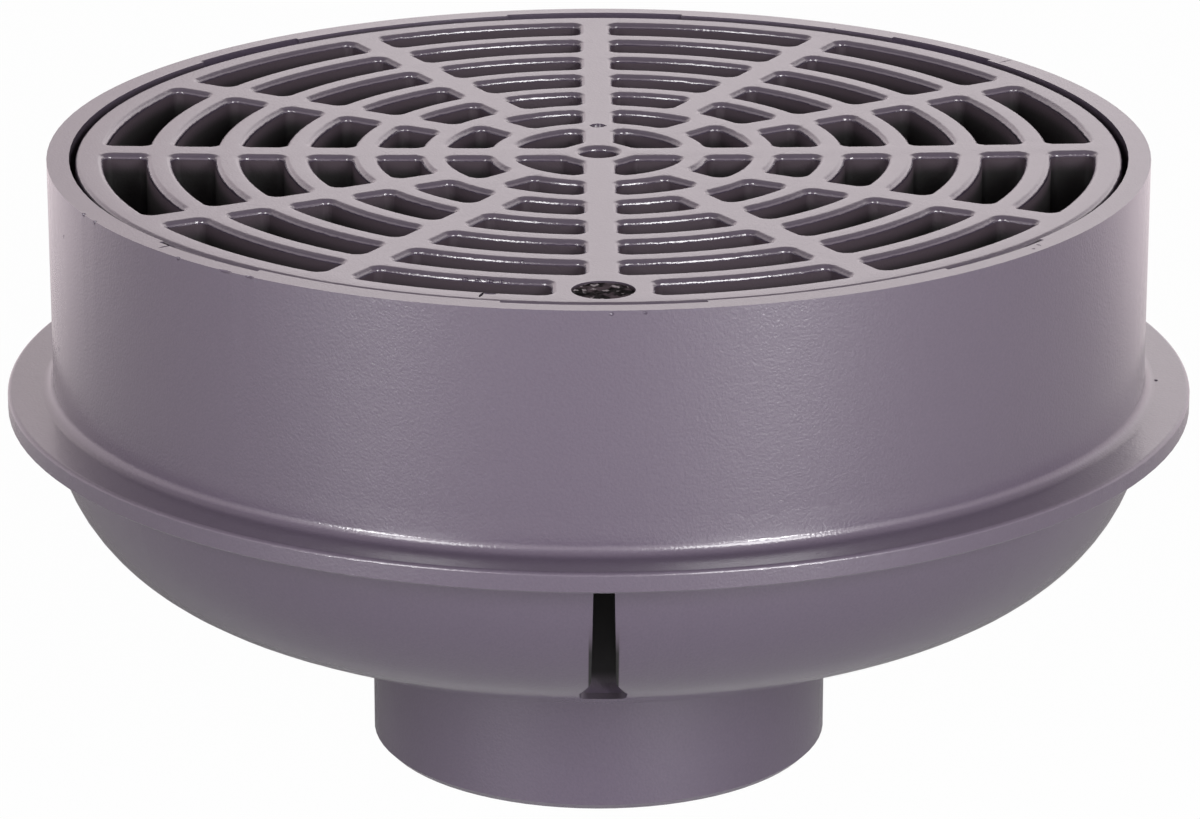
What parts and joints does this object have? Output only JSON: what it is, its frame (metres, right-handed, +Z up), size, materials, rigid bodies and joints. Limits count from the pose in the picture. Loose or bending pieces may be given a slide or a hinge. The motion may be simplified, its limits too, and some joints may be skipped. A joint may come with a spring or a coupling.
{
  "type": "floor drain",
  "caption": "Round floor drain: cast body with collar, anchor flange, bowl and plain-end outlet, topped by a flush grate of curved slots held by a sunk screw.",
  "frame": {"origin": "middle of the outlet's lower end", "axes": "+Z up along the drain's axis; the grate screw and the groove under the flange are on the -Y side"},
  "size_m": [0.2202, 0.2202, 0.115],
  "materials": {
    "painted_cast_iron": "semi-gloss grey paint over sand-cast iron",
    "dark_steel": "dark and worn"
  },
  "bodies": {
    "root": {"body": "painted_cast_iron", "grate": "painted_cast_iron", "grate_screw": "dark_steel"}
  },
  "joints": []
}
